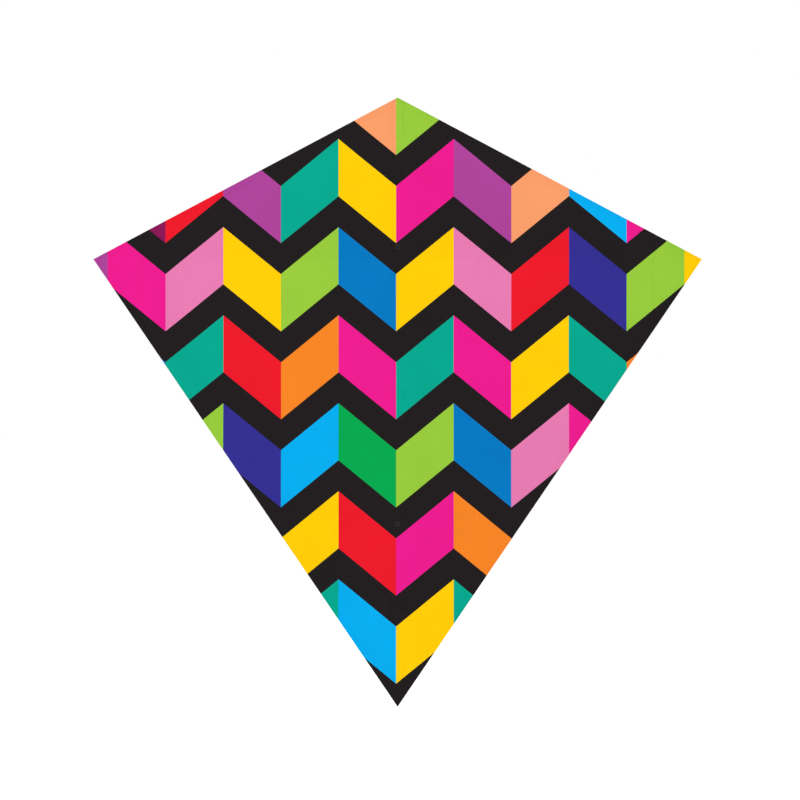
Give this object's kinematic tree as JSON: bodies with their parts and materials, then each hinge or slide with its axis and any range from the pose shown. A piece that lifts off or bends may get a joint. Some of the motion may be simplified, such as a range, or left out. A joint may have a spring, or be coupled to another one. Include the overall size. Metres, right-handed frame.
{
  "type": "diamond kite",
  "caption": "Diamond kite with a printed zigzag sail, glass-fibre spine and hinged spreader arms that fold both wings back behind the spine.",
  "frame": {"origin": "upper bridle point: the middle of the upper eyelet, on the printed face of the sail", "axes": "+Z along the spine to the nose, +X to the right seen from the printed face, which looks along -Y"},
  "size_m": [0.762, 0.0098, 0.763],
  "materials": {
    "print_cloth": "printed plain-weave polyester, zigzag of coloured blocks on black",
    "tape_cloth": "black woven edge tape and patches",
    "rod": "black pultruded glass-fibre rod",
    "soft_plastic": "soft black vinyl",
    "moulding": "moulded black nylon, fine texture",
    "pin_steel": "turned steel",
    "eyelet_metal": "black enamelled brass"
  },
  "bodies": {
    "spine": {"sail_centre": "print_cloth", "spine_rod": "rod", "nose_cap": "soft_plastic", "tail_cap": "soft_plastic", "hub_body": "moulding", "hinge_pin_left": "pin_steel", "hinge_pin_right": "pin_steel", "stop_ring_upper": "soft_plastic", "stop_ring_lower": "soft_plastic", "nose_pocket": "tape_cloth", "tail_pocket": "tape_cloth", "nose_patch": "tape_cloth", "tail_patch": "tape_cloth", "centre_patch": "tape_cloth", "bridle_patch": "tape_cloth", "bridle_eyelet_upper": "eyelet_metal", "bridle_eyelet_lower": "eyelet_metal", "tail_loop": "tape_cloth", "spine_keeper_upper": "tape_cloth", "spine_keeper_middle": "tape_cloth", "spine_keeper_lower": "tape_cloth"},
    "wing_left": {"sail_left": "print_cloth", "hem_upper_left": "tape_cloth", "hem_lower_left": "tape_cloth", "tip_patch_left": "tape_cloth", "tip_pocket_left": "tape_cloth", "spreader_left": "rod", "spreader_cap_left": "soft_plastic", "hub_arm_left": "moulding"},
    "wing_right": {"sail_right": "print_cloth", "hem_upper_right": "tape_cloth", "hem_lower_right": "tape_cloth", "tip_patch_right": "tape_cloth", "tip_pocket_right": "tape_cloth", "spreader_right": "rod", "spreader_cap_right": "soft_plastic", "hub_arm_right": "moulding"}
  },
  "joints": [
    {"name": "fold_left", "type": "hinge", "parent": "spine", "child": "wing_left", "pos_m": [-0.01, 0.0052, -0.016], "axis": [0, 0, -1], "range_deg": [0, 85]},
    {"name": "fold_right", "type": "hinge", "parent": "spine", "child": "wing_right", "pos_m": [0.01, 0.0052, -0.016], "axis": [0, 0, 1], "range_deg": [0, 85]}
  ]
}
